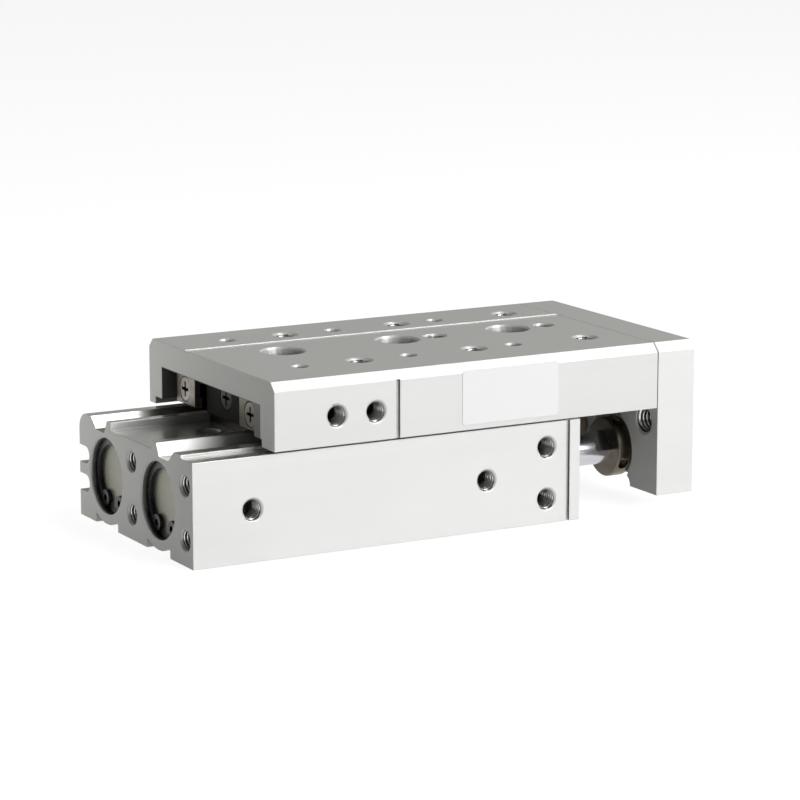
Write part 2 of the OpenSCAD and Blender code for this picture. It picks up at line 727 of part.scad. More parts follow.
module guide_block() color_steel() difference() {
    along_x(block_x, block_end_x) guide_block_outline();
    for (x = bolt_x)
        translate([x, 0, channel_z - 1]) cylinder(d = access_d, h = total_h);
    for (x = block_bolt_x)
        translate([x, 0, block_bolt_head_z]) screw_hole(M3_CAP, total_h);
    bar_x(M3_FLAT[0]/2, block_x - 1, block_x + wiper_screw_len - wiper_t, 0, wiper_z);
    bar_x(M3_FLAT[0]/2, block_end_x - wiper_screw_len + wiper_t, block_end_x + 1, 0, wiper_z);
}

module guide_block_bolts() color_dark() for (x = block_bolt_x)
    translate([x, 0, block_bolt_head_z])
        screw(M3_CAP, block_bolt_head_z - channel_z + block_bolt_depth);

// Thin plates on the block's ends that keep dirt out of the races.
module wiper_plate(x) {
    along_x(x, x + wiper_t)
        translate([-block_half_w + 0.5, body_h + 0.3])
            square([2*block_half_w - 1, block_top_z - body_h - 0.6]);
}

module guide_wipers() color_steel() {
    difference() {
        wiper_plate(block_x - wiper_t);
        translate([block_x - wiper_t, 0, wiper_z]) to_minus_x() flat_hole(M3_FLAT, 2*wiper_t);
    }
    difference() {
        wiper_plate(block_end_x);
        translate([block_end_x + wiper_t, 0, wiper_z]) to_plus_x() flat_hole(M3_FLAT, 2*wiper_t);
    }
}

module wiper_screws() color_dark() {
    translate([block_x - wiper_t, 0, wiper_z]) to_minus_x() flat_screw(M3_FLAT, wiper_screw_len);
    translate([block_end_x + wiper_t, 0, wiper_z]) to_plus_x() flat_screw(M3_FLAT, wiper_screw_len);
}

// ---------- Table and its rails ----------

module table_outline() {
    difference() {
        polygon([[table_right_y, table_z], [table_left_y, table_z],
                 [table_left_y, total_h - top_chamfer], [table_left_y - top_chamfer, total_h],
                 [table_right_y + top_chamfer, total_h], [table_right_y, total_h - top_chamfer]]);
        translate([-inner_half_w, table_z - 1]) square([2*inner_half_w, ceiling_z - table_z + 1]);
        translate([-inner_half_w - step_w, table_z - 1])
            square([2*(inner_half_w + step_w), step_h + 1]);
    }
}

module locating_slot(length) {
    for (dx = [-1, 1]) translate([dx*(length - pin_d)/2, 0, 0]) cylinder(d = pin_d, h = total_h);
    translate([-(length - pin_d)/2, -pin_d/2, 0]) cube([length - pin_d, pin_d, total_h]);
}

module table() color_alloy() difference() {
    along_x(table_x, table_end_x) table_outline();
    for (x = access_x) translate([x, 0, ceiling_z - 1]) cylinder(d = access_d, h = total_h);
    for (x = work_x, y = work_y) translate([x, y, total_h]) tapped_hole(M6_TAP, top_t + 1);
    for (x = rail_bolt_x, y = work_y)
        translate([x, y, ceiling_z - 1]) cylinder(d = M4_SLIM[0], h = top_t + 2);
    translate([work_x[1], 0, total_h - pin_depth]) locating_slot(pin_slot_len);
    translate([work_x[2], 0, total_h - pin_depth]) cylinder(d = pin_d, h = total_h);
    for (x = table_side_x)
        translate([x, table_right_y, table_side_z]) to_minus_y()
            tapped_hole(M5_TAP, side_hole_depth);
    for (at = plate_bolt_at)
        bar_x(M4_SLIM[0]/2, table_end_x - plate_bolt_len, table_end_x + 1, at[0], at[1]);
    translate([table_x - 1, line_y - line_w/2, total_h - line_depth])
        cube([table_len + 2, line_w, 1]);
    translate([table_x + table_key_inset - key_w/2, table_right_y - 1, table_z - 1])
        cube([key_w, key_depth + 1, total_h - top_chamfer - table_z + 1]);
}

// Rail outline on the left; the race faces the guide block.
module rail_outline() {
    tip_y = race_mid_y + tip_reach;
    difference() {
        translate([rail_y, rail_z]) square([rail_w, rail_h]);
        translate([0, guide_z])
            polygon([[tip_y, 0], [tip_y - tip_reach, tip_reach], [tip_y - tip_reach, -tip_reach]]);
        translate([tip_y - 0.5, guide_z - 0.35]) square([0.8, 0.7]);
    }
}

module rail_right_half() difference() {
    along_x(rail_x, rail_end_x) mirror([1, 0]) rail_outline();
    for (x = rail_bolt_x)
        translate([x, work_y[0], rail_bolt_head_z + M4_SLIM[2]]) mirror([0, 0, 1])
            screw_hole(M4_SLIM, total_h);
    for (x = [rail_x, rail_end_x])
        bar_x(M3_FLAT[0]/2, x - stop_screw_len, x + stop_screw_len, -stop_screw_y, stop_mid_z);
}

module rail_right() color_steel() rail_right_half();
module rail_left() color_steel() mirror([0, 1, 0]) rail_right_half();

module rail_bolts() color_dark() for (x = rail_bolt_x, y = work_y)
    translate([x, y, rail_bolt_head_z + M4_SLIM[2]]) mirror([0, 0, 1])
        screw(M4_SLIM, rail_bolt_end_z - rail_bolt_head_z - M4_SLIM[2]);

// Plates on the rails' ends that keep the cages in.
module stop_plate(x) {
    along_x(x, x + stop_t) translate([stop_y, stop_z]) square([stop_w, stop_h]);
}

module rail_stops() color_steel() for (side = [0, 1]) mirror([0, side, 0]) {
    difference() {
        stop_plate(rail_x - stop_t);
        translate([rail_x - stop_t, stop_screw_y, stop_mid_z]) to_minus_x()
            flat_hole(M3_FLAT, 2*stop_t);
    }
    difference() {
        stop_plate(rail_end_x);
        translate([rail_end_x + stop_t, stop_screw_y, stop_mid_z]) to_plus_x()
            flat_hole(M3_FLAT, 2*stop_t);
    }
}

module rail_stop_screws() color_steel() for (side = [-1, 1]) {
    translate([rail_x - stop_t, side*stop_screw_y, stop_mid_z]) to_minus_x()
        flat_screw(M3_FLAT, stop_screw_len);
    translate([rail_end_x + stop_t, side*stop_screw_y, stop_mid_z]) to_plus_x()
        flat_screw(M3_FLAT, stop_screw_len);
}

// ---------- End plate ----------

module end_plate_outline() {
    arch_y = table_right_y + leg_w;
    arch_w = table_w - 2*leg_w;
    difference() {
        polygon([[table_right_y, plate_clear], [table_left_y, plate_clear],
                 [table_left_y, total_h - top_chamfer], [table_left_y - top_chamfer, total_h],
                 [table_right_y + top_chamfer, total_h], [table_right_y, total_h - top_chamfer]]);
        translate([arch_y, plate_clear - 1]) square([arch_w, arch_h + 1 - arch_r]);
        translate([arch_y + arch_r, plate_clear - 1]) square([arch_w - 2*arch_r, arch_h + 1]);
        for (y = [arch_y + arch_r, arch_y + arch_w - arch_r])
            translate([y, plate_clear + arch_h - arch_r]) circle(r = arch_r);
    }
}

module end_plate() color_alloy() difference() {
    along_x(table_end_x, plate_end_x) end_plate_outline();
    for (y = bore_y) {
        bar_x(collar_recess_d/2, table_end_x - 1, collar_base_x, y, bore_z);
        bar_x(spigot_d/2 + seat_play, table_end_x - 1, plate_end_x, y, bore_z);
        bar_x(nut_recess_d/2, nut_recess_x, plate_end_x + 1, y, bore_z);
    }
    for (y = plate_hole_y) {
        translate([table_end_x, y, plate_hole_z]) to_minus_x() tapped_hole(M6_END_TAP, plate_t/2);
        translate([plate_end_x, y, plate_hole_z]) to_plus_x() tapped_hole(M6_END_TAP, plate_t/2);
    }
    for (at = plate_bolt_at)
        translate([plate_bolt_head_x, at[0], at[1]]) to_plus_x() screw_hole(M4_SLIM, total_h);
    bar_x(pad_d/4, table_end_x - 1, table_end_x + pad_stub_len, 0, pad_z);
}

// Pad pressed into the end plate, which meets the body when the table is fully in.
pad_stub_len = 3;
module stop_pad() color([0.62, 0.48, 0.34]) {
    bar_x(pad_d/2, table_end_x - pad_t, table_end_x, 0, pad_z);
    bar_x(pad_d/4, table_end_x - eps, table_end_x + pad_stub_len, 0, pad_z);
}

module end_plate_bolts() color_dark() for (at = plate_bolt_at)
    translate([plate_bolt_head_x, at[0], at[1]]) to_plus_x()
        screw(M4_SLIM, plate_bolt_head_x - table_end_x + plate_bolt_len - 0.5);

// Collar between the rod's shoulder and the end plate, with a spigot through the plate and
// four holes round its rim for a pin spanner.
spanner_turn = 28;
spanner_depth = 1.2;
module rod_collars() color([0.33, 0.31, 0.28]) for (y = bore_y) difference() {
    rim = 0.3;
    union() {
        cone_x(collar_d/2 - rim, collar_d/2, collar_x, collar_x + rim, y, bore_z);
        bar_x(collar_d/2, collar_x + rim, collar_base_x, y, bore_z);
        bar_x(spigot_d/2, collar_base_x - eps, nut_recess_x, y, bore_z);
    }
    bar_x(stub_d/2, collar_x - 1, nut_recess_x + 1, y, bore_z);
    translate([(collar_x + collar_base_x)/2, y, bore_z])
        for (i = [0:3]) rotate([spanner_turn + 90*i, 0, 0])
            translate([0, 0, collar_d/2 - spanner_depth]) cylinder(d = spanner_d, h = collar_d);
}

module rod_washers() color_steel() for (y = bore_y)
    tube_x(nut_recess_d/2 - 1, stub_d/2, nut_recess_x, nut_x, y, bore_z);

module rod_nuts() color_steel() for (y = bore_y) difference() {
    translate([nut_x, y, bore_z]) to_plus_x() cylinder(d = stub_d*1.9, h = nut_h, $fn = 6);
    bar_x(stub_d/2, nut_x - 1, nut_x + nut_h + 1, y, bore_z);
}

// ---------- Roller cages ----------

roller_x = [for (i = [0:roller_count - 1]) cage_mid_x + (i - (roller_count - 1)/2)*roller_pitch];

// Crossed rollers on the left side: each one is turned a right angle from the next.
module rollers() for (i = [0:roller_count - 1])
    translate([roller_x[i], race_mid_y, guide_z]) rotate([i % 2 == 0 ? 45 : -45, 0, 0])
        translate([0, 0, -roller_len/2]) cylinder(d = roller_d, h = roller_len);

// Cage strip with a window for each roller.
module cage() {
    window_h = (roller_d + roller_len)/sqrt(2) + 0.2;
    window_w = roller_d + 0.2;
    difference() {
        translate([cage_mid_x - cage_len/2, race_mid_y - cage_t/2, guide_z - cage_h/2])
            cube([cage_len, cage_t, cage_h]);
        for (x = roller_x)
            translate([x - window_w/2, race_mid_y - 1, guide_z - window_h/2])
                cube([window_w, 2, window_h]);
    }
}

module cage_left() color([0.72, 0.55, 0.30]) cage();
module cage_right() color([0.72, 0.55, 0.30]) mirror([0, 1, 0]) cage();
module rollers_left() color_chrome() rollers();
module rollers_right() color_chrome() mirror([0, 1, 0]) rollers();

// ---------- Nodes ----------

body();
head_cap(bore_y[1]);  // head_cap_left
head_cap(bore_y[0]);  // head_cap_right
retaining_ring(head_ring_x, bore_y[1]);  // head_ring_left
retaining_ring(head_ring_x, bore_y[0]);  // head_ring_right
head_o_rings();
head_bumpers();
rod_cover(bore_y[1]);  // rod_cover_left
rod_cover(bore_y[0]);  // rod_cover_right
cover_rings();
cover_o_rings();
rod_bushes();
rod_seals();
cover_bumpers();
guide_block();
guide_block_bolts();
guide_wipers();
wiper_screws();
table();
end_plate();
end_plate_bolts();
rail_left();
rail_right();
rail_bolts();
rail_stops();
rail_stop_screws();
piston_rod(bore_y[1]);  // piston_rod_left
piston_rod(bore_y[0]);  // piston_rod_right
piston(bore_y[1]);  // piston_left
piston(bore_y[0]);  // piston_right
piston_seals();
piston_magnets();
rod_collars();
rod_washers();
rod_nuts();
stop_pad();
cage_left();
rollers_left();
cage_right();
rollers_right();
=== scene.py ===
"""Looks of the pneumatic slide table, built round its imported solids.

Lengths are in metres in the row's frame: X along the stroke, Z up, the port side at -Y.
"""

import json
import math

import bmesh
import bpy
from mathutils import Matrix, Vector


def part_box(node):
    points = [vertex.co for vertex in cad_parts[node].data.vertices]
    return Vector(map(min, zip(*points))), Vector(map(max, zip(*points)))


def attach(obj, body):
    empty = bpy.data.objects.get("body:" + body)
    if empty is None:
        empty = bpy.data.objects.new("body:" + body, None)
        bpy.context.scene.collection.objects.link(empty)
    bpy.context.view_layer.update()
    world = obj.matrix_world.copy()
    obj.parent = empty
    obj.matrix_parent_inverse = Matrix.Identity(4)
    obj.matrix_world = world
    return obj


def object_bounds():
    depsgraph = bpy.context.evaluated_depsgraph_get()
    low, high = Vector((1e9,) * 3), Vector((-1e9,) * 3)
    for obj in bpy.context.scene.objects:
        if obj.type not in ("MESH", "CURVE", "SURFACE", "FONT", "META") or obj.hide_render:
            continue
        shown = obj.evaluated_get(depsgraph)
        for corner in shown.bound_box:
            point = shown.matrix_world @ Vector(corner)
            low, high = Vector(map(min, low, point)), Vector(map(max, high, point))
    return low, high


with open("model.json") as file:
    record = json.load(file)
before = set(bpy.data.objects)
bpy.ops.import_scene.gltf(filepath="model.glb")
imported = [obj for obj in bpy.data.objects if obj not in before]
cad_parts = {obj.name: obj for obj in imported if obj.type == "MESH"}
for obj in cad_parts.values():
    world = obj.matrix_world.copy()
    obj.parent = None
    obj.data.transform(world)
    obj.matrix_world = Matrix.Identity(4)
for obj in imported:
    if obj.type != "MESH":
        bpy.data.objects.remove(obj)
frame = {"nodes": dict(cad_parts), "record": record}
nodes = frame["nodes"]
mounts = {m["name"]: m for m in frame["record"]["mounts"]}
cad_low, cad_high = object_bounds()

MM = 0.001
BASE = "base"
SLIDE = "slide"
X_AXIS, Y_AXIS, Z_AXIS = Vector((1, 0, 0)), Vector((0, 1, 0)), Vector((0, 0, 1))


# ---------- Materials ----------


class Nodes:
    """Small helper round a node tree: adds nodes and joins them."""

    def __init__(self, tree):
        self.tree = tree
        tree.nodes.clear()

    def add(self, kind, **values):
        node = self.tree.nodes.new(kind)
        for key, value in values.items():
            setattr(node, key, value)
        return node

    def link(self, source, target):
        self.tree.links.new(source, target)

    def put(self, value, socket):
        """Joins a socket to another, or sets it to a plain value."""
        if isinstance(value, bpy.types.NodeSocket):
            self.link(value, socket)
        else:
            socket.default_value = value

    def math(self, operation, a, b=0.0, clamp=False):
        node = self.add("ShaderNodeMath", operation=operation, use_clamp=clamp)
        self.put(a, node.inputs[0])
        self.put(b, node.inputs[1])
        return node.outputs[0]

    def span(self, value, low, high, to_low=0.0, to_high=1.0):
        """A smooth step of value from low to high."""
        node = self.add("ShaderNodeMapRange", interpolation_type="SMOOTHSTEP")
        self.put(value, node.inputs["Value"])
        node.inputs["From Min"].default_value = low
        node.inputs["From Max"].default_value = high
        node.inputs["To Min"].default_value = to_low
        node.inputs["To Max"].default_value = to_high
        return node.outputs["Result"]

    def mix(self, factor, a, b):
        node = self.add("ShaderNodeMix", data_type="RGBA")
        self.put(factor, node.inputs["Factor"])
        self.put(a, node.inputs["A"])
        self.put(b, node.inputs["B"])
        return node.outputs["Result"]

    def place(self, stretch=(1, 1, 1)):
        """The row's own coordinates, in metres, stretched along each axis."""
        where = self.add("ShaderNodeTexCoord")
        mapping = self.add("ShaderNodeMapping")
        mapping.inputs["Scale"].default_value = stretch
        self.link(where.outputs["Object"], mapping.inputs["Vector"])
        return mapping.outputs["Vector"]

    def noise(self, scale, stretch=(1, 1, 1), detail=3.0):
        node = self.add("ShaderNodeTexNoise")
        self.link(self.place(stretch), node.inputs["Vector"])
        node.inputs["Scale"].default_value = scale
        node.inputs["Detail"].default_value = detail
        node.inputs["Roughness"].default_value = 0.55
        return node.outputs["Fac"]

    def blend(self, a, b, share):
        """share of a plus the rest of b."""
        return self.math("ADD", self.math("MULTIPLY", a, share),
                         self.math("MULTIPLY", b, 1 - share))

    def apart(self, a, b):
        """How far a is from b."""
        return self.math("ABSOLUTE", self.math("SUBTRACT", a, b))

    def bump(self, height, distance, edge):
        """The normal of a bumped surface whose edges the shading rounds to a radius of edge."""
        broken = self.add("ShaderNodeBevel", samples=4)
        broken.inputs["Radius"].default_value = edge
        node = self.add("ShaderNodeBump")
        node.inputs["Strength"].default_value = 1.0
        node.inputs["Distance"].default_value = distance
        self.put(height, node.inputs["Height"])
        self.link(broken.outputs["Normal"], node.inputs["Normal"])
        return node.outputs["Normal"]

    def painted_hollow_shade(self, reach, low, high):
        """Painted shade: 0 deep inside holes and slots, and 1 in the open."""
        node = self.add("ShaderNodeAmbientOcclusion", samples=6, only_local=True)
        node.inputs["Distance"].default_value = reach
        return self.span(node.outputs["AO"], low, high)


# The alloy's colour on drawn faces, on its ends and the faces that look up, and the painted shade
# deep inside holes and slots, which also colours a joint's dark line.
SIDE_TONE = (0.80, 0.80, 0.79)
# The warmer tone on the ends and the faces that look up is a painted reflection of warm
# surroundings.
END_AND_TOP_TONE = (0.80, 0.80, 0.765)
SHADE_AND_JOINT_TONE = (0.05, 0.05, 0.048)
TONE_SPREAD = 0.035  # how far that colour varies, as a share of it
TABLE_SHADE = 0.93  # the table's sides are a little darker than the body's
SIDE_METAL, SIDE_ROUGH = 0.3, 0.42  # faces that don't look up
SHADE_BOX_KEEP = 0.25  # share of the alloy's colour kept in the painted shade under the table, where 1 is unshaded
BOX_FADE = 0.05 * MM  # width of the change at the edge of the box of painted shade
SKIN = 0.5 * MM  # shallow marks in the table's top are kept clear of the painted shade
JOINT_LINE = (0.20 * MM, 0.26 * MM)  # where a joint's dark line starts to fade, and is gone

# The share of slow mottling in a tone, the rest of which is fine grain.
METAL_SLOW, ALLOY_SLOW = 0.65, 0.7

# The radius of an edge that only the shading breaks.
METAL_EDGE, ALLOY_EDGE, LABEL_EDGE = 0.12 * MM, 0.06 * MM, 0.04 * MM

# How far each look for the painted shade of hollows reaches, and the openness that counts as fully
# shaded and as unshaded.
ALLOY_HOLLOW_SHADE = (20 * MM, 0.25, 0.85)
METAL_HOLLOW_SHADE = (3 * MM, 0.15, 0.75)

# The space under the table's top and between its walls, with a little of their faces, which is
# painted in shade.
table_low, table_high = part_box("table")
TABLE_WALL, TABLE_TOP, FACE_DEPTH = 7 * MM, 6 * MM, 0.1 * MM
TABLE_INSIDE = (Vector((table_low.x - MM, table_low.y + TABLE_WALL - FACE_DEPTH,
                        table_low.z - MM)),
                Vector((table_high.x, table_high.y - TABLE_WALL + FACE_DEPTH,
                        table_high.z - TABLE_TOP + FACE_DEPTH)))


def rgba(color):
    return (*color, 1.0)


def shade(color, factor):
    return tuple(c * factor for c in color)


def new_material(name):
    material = bpy.data.materials.new(name)
    material.use_nodes = True
    tree = Nodes(material.node_tree)
    shader = tree.add("ShaderNodeBsdfPrincipled")
    out = tree.add("ShaderNodeOutputMaterial")
    tree.link(shader.outputs[0], out.inputs["Surface"])
    return material, tree, shader


def varied(t, where, color, spread):
    """A colour that varies by spread, its own share, from where 0 to where 1."""
    return t.mix(where, rgba(shade(color, 1 - spread)), rgba(shade(color, 1 + spread)))


def metal(name, color, metallic, rough, grain=900, stretch=(1, 1, 1), grain_depth=0.004,
          mottle=0.04, rough_spread=0.06, painted_hollow_shade=False, specular=0.5):
    """A worked surface: fine grain, slow mottling of its tone and softly broken edges.

    grain_depth is in millimetres. With the hollows' shade on, deep places are painted in shade as
    dark as a tenth of color.
    """
    material, t, shader = new_material(name)
    slow = t.noise(60, detail=2.0)
    fine = t.noise(grain, stretch, detail=4.0)
    colour = varied(t, t.blend(slow, fine, METAL_SLOW), color, mottle)
    if painted_hollow_shade:
        # painted shade deep in holes and slots
        colour = t.mix(t.painted_hollow_shade(*METAL_HOLLOW_SHADE), rgba(shade(color, 0.1)), colour)
    t.put(colour, shader.inputs["Base Color"])
    shader.inputs["Metallic"].default_value = metallic
    shader.inputs["Specular IOR Level"].default_value = specular
    t.put(t.span(fine, 0.25, 0.75, rough - rough_spread, rough + rough_spread),
          shader.inputs["Roughness"])
    t.put(t.bump(fine, grain_depth * MM, METAL_EDGE), shader.inputs["Normal"])
    return material


def anodised_alloy(name, flat_metal, flat_rough, side_tone=SIDE_TONE, painted_shade_box=None,
                   joint_x=None):
    """Clear anodised extrusion: drawn lines along X, and matt machined faces across its ends.

    flat_metal and flat_rough are for the faces that look up, which keep the drawn shine.
    The ends and the faces that look up get a warmer tone, a painted reflection of warm
    surroundings. Holes and slots get painted shade, and so do faces inside the box given as a pair
    of corners, under the table; the edge at joint_x shows as the fine dark line of a joint, but
    not on top, where it is tight.
    """
    material, t, shader = new_material(name)
    normal_of = t.add("ShaderNodeNewGeometry").outputs["Normal"]
    split = t.add("ShaderNodeSeparateXYZ")
    t.link(normal_of, split.inputs[0])
    across = t.math("ABSOLUTE", split.outputs["X"])
    end_face = t.span(across, 0.7, 0.95)
    looks_up = t.span(split.outputs["Z"], 0.3, 0.6)
    slow = t.noise(45, detail=2.0)
    lines = t.noise(900, (0.02, 1, 1), detail=4.0)
    matt = t.noise(2600, detail=3.0)
    grain = t.mix(end_face, lines, matt)
    tone = t.blend(slow, grain, ALLOY_SLOW)
    # ends and faces that look up take the warmer tone, a painted reflection
    ends_and_tops = t.math("MAXIMUM", end_face, looks_up)
    colour = t.mix(ends_and_tops, varied(t, tone, side_tone, TONE_SPREAD),
                   varied(t, tone, END_AND_TOP_TONE, TONE_SPREAD))
    where = t.add("ShaderNodeSeparateXYZ")
    t.link(t.place(), where.inputs[0])
    skin = t.span(where.outputs["Z"], cad_high.z - 1.3 * SKIN, cad_high.z - 0.9 * SKIN)
    # painted shade in holes and slots, kept off the top's shallow marks
    unshaded_off_joint = t.math("MAXIMUM", t.painted_hollow_shade(*ALLOY_HOLLOW_SHADE), skin)
    if joint_x is not None:
        off_line = t.span(t.apart(where.outputs["X"], joint_x), *JOINT_LINE)
        tight = t.span(split.outputs["Z"], 0.8, 0.95)
        unshaded_off_joint = t.math("MINIMUM", unshaded_off_joint, t.math("MAXIMUM", off_line, tight))
    # painted shade under the table's top and between its walls
    if painted_shade_box:
        outside = 0.0
        for axis, low, high in zip("XYZ", *painted_shade_box):
            middle, half = (low + high) / 2, (high - low) / 2
            away = t.apart(where.outputs[axis], middle)
            outside = t.math("MAXIMUM", outside, t.span(away, half, half + BOX_FADE))
        unshaded_off_joint = t.math("MINIMUM", unshaded_off_joint, t.math("ADD", outside, SHADE_BOX_KEEP, clamp=True))
    t.put(t.mix(unshaded_off_joint, rgba(SHADE_AND_JOINT_TONE), colour), shader.inputs["Base Color"])
    metallic = t.span(looks_up, 0.0, 1.0, SIDE_METAL, flat_metal)
    t.put(t.math("MULTIPLY", metallic, t.span(end_face, 0.0, 1.0, 1.0, 0.0)),
          shader.inputs["Metallic"])
    base_rough = t.span(looks_up, 0.0, 1.0, SIDE_ROUGH, flat_rough)
    t.put(t.math("ADD", t.math("ADD", base_rough, t.span(grain, 0.25, 0.75, -0.04, 0.04)),
                 t.math("MULTIPLY", end_face, 0.1)), shader.inputs["Roughness"])
    t.put(t.bump(grain, 0.003 * MM, ALLOY_EDGE), shader.inputs["Normal"])
    return material


def thread_metal():
    """Thread ridges: painted bright along their tops as a highlight and painted dark in the root
    as shade.
    """
    material, t, shader = new_material("thread_alloy")
    painted_ridge_light = t.add("ShaderNodeAttribute", attribute_name="painted_ridge_light").outputs["Fac"]
    t.put(t.mix(painted_ridge_light, rgba((0.04, 0.04, 0.038)), rgba((0.85, 0.85, 0.83))),
          shader.inputs["Base Color"])
    shader.inputs["Metallic"].default_value = 1.0
    shader.inputs["Roughness"].default_value = 0.25
    return material


ALLOY = anodised_alloy("anodised_alloy", flat_metal=0.92, flat_rough=0.24)
PLATE = anodised_alloy("anodised_plate", flat_metal=0.45, flat_rough=0.4)
TABLE = anodised_alloy("anodised_table", flat_metal=0.45, flat_rough=0.4,
                       side_tone=shade(SIDE_TONE, TABLE_SHADE), painted_shade_box=TABLE_INSIDE,
                       joint_x=table_high.x)
# The guide block, its rails and its wiper plates are painted about as dark as the shade they sit
# in under the table.
GROUND = metal("ground_steel", (0.10, 0.093, 0.08), 1.0, 0.34, 1400, (0.03, 1, 1))
WIPER = metal("wiper_plate", (0.02, 0.019, 0.018), 0.0, 0.6, 900, specular=0.15)
# The stops, plated parts and caps are painted with shade deep in their holes.
STOP = metal("stop_steel", (0.25, 0.23, 0.19), 1.0, 0.34, 700, mottle=0.08, painted_hollow_shade=True)
PLATED = metal("plated_steel", (0.32, 0.30, 0.27), 1.0, 0.32, 700, mottle=0.08, painted_hollow_shade=True)
OXIDE = metal("black_oxide", (0.045, 0.045, 0.048), 0.7, 0.36, 1100)
RING = metal("ring_steel", (0.035, 0.035, 0.038), 0.6, 0.3, 1100)
CHROMED = metal("chromed_rod", (0.62, 0.62, 0.66), 1.0, 0.2, 1500, (40, 1, 1), 0.0006,
                mottle=0.01, rough_spread=0.02)
COLLAR = metal("collar_steel", (0.16, 0.14, 0.11), 1.0, 0.34, 1200, (30, 1, 1), 0.001)
CAP = metal("cap_alloy", (0.33, 0.325, 0.26), 0.5, 0.36, 1000, mottle=0.05, painted_hollow_shade=True)
PAD = metal("stop_urethane", (0.36, 0.29, 0.21), 0.0, 0.5, 900)
RUBBER = metal("rubber", (0.03, 0.03, 0.03), 0.0, 0.6, 800, rough_spread=0.1)
BRONZE = metal("bronze", (0.45, 0.28, 0.12), 1.0, 0.4, 1200)
MAGNET = metal("magnet", (0.06, 0.06, 0.065), 0.0, 0.6, 900)
BRASS = metal("cage_brass", (0.60, 0.45, 0.20), 1.0, 0.3, 900)
THREAD = thread_metal()

LOOKS = {
    ALLOY: ["body", "piston_left", "piston_right"],
    TABLE: ["table"],
    PLATE: ["end_plate"],
    CAP: ["head_cap_left", "head_cap_right", "rod_cover_left", "rod_cover_right"],
    RING: ["head_ring_left", "head_ring_right", "cover_rings"],
    RUBBER: ["head_o_rings", "head_bumpers", "cover_o_rings", "rod_seals",
             "cover_bumpers", "piston_seals"],
    BRONZE: ["rod_bushes"],
    PAD: ["stop_pad"],
    GROUND: ["guide_block", "rail_left", "rail_right"],
    WIPER: ["guide_wipers"],
    OXIDE: ["guide_block_bolts", "wiper_screws", "end_plate_bolts", "rail_bolts"],
    STOP: ["rail_stops"],
    PLATED: ["rail_stop_screws", "rod_washers", "rod_nuts"],
    CHROMED: ["piston_rod_left", "piston_rod_right", "rollers_left", "rollers_right"],
    COLLAR: ["rod_collars"],
    MAGNET: ["piston_magnets"],
    BRASS: ["cage_left", "cage_right"],
}
for material, names in LOOKS.items():
    for name in names:
        for slot in nodes[name].material_slots:
            slot.material = material


# The machined edges of the nodes listed here are broken a little: the width of that break, in
# millimetres.
EDGE_BREAKS = {
    0.15: ["table", "end_plate"],
    0.12: ["body"],
    0.1: ["head_cap_left", "head_cap_right", "rail_left", "rail_right", "guide_block",
          "rail_stops", "guide_wipers", "rod_collars"],
}
WELD_GAP = 0.001 * MM
FLAT_ANGLE, EDGE_ANGLE = 0.5, 35  # in degrees: what still counts as flat, and as an edge


def break_edges(node, width):
    """Joins a node's faces across its flats, then bevels what is left of its edges."""
    weld = node.modifiers.new("weld", "WELD")
    weld.merge_threshold = WELD_GAP
    flats = node.modifiers.new("flats", "DECIMATE")
    flats.decimate_type = "DISSOLVE"
    flats.angle_limit = math.radians(FLAT_ANGLE)
    bevel = node.modifiers.new("edge_break", "BEVEL")
    bevel.width = width
    bevel.segments = 2
    bevel.limit_method = "ANGLE"
    bevel.angle_limit = math.radians(EDGE_ANGLE)
    bevel.use_clamp_overlap = False
    bevel.harden_normals = True


for width, names in EDGE_BREAKS.items():
    for name in names:
        break_edges(nodes[name], width * MM)


# ---------- Added pieces ----------


def new_object(name, mesh_maker, material, body):
    """A mesh object filled by mesh_maker, riding on a CAD body."""
    mesh = bpy.data.meshes.new(name)
    bm = bmesh.new()
    mesh_maker(bm)
    bm.to_mesh(mesh)
    bm.free()
    piece = bpy.data.objects.new(name, mesh)
    bpy.context.scene.collection.objects.link(piece)
    mesh.materials.append(material)
    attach(piece, body)
    return piece


THREAD_STEPS = 24  # rows in one turn of a thread

# A thread ridge's outline across its run: its lift off the drilled wall, how far along the
# hole in pitches, and how bright it is painted, from painted shade in the root to a painted
# highlight along its top.
RIDGE = ((-0.03 * MM, -0.45, 0.0), (0.06 * MM, -0.28, 0.0), (0.10 * MM, -0.24, 0.9),
         (0.28 * MM, 0.0, 1.0), (0.20 * MM, 0.1, 0.2), (-0.03 * MM, 0.45, 0.0))


def helix(bm, at, out, tap, start, length):
    """Ridge of an internal thread on a drilled wall, from start to start + length below the mouth.

    It rises and fades over half a turn, and follows the countersink out where it meets it.
    """
    drill_r, pitch, rim = tap
    painted_ridge_light = bm.verts.layers.float.new("painted_ridge_light")
    out = Vector(out).normalized()
    side = out.orthogonal().normalized()
    other = out.cross(side)
    total = int(length / pitch * THREAD_STEPS)
    rows = []
    for i in range(total + 1):
        turn = 2 * math.pi * i / THREAD_STEPS
        spoke = side * math.cos(turn) + other * math.sin(turn)
        depth = start + pitch * i / THREAD_STEPS
        fade = min(1.0, 2 * i / THREAD_STEPS, 2 * (total - i) / THREAD_STEPS)
        row = []
        for lift, along, tone in RIDGE:
            flare = max(0.0, rim - depth - along * pitch)
            reach = drill_r + flare - lift * fade
            row.append(bm.verts.new(Vector(at) - out * (depth + along * pitch) + spoke * reach))
            row[-1][painted_ridge_light] = tone
        rows.append(row)
    for low, high in zip(rows, rows[1:]):
        for k in range(len(RIDGE) - 1):
            bm.faces.new((low[k], low[k + 1], high[k + 1], high[k]))


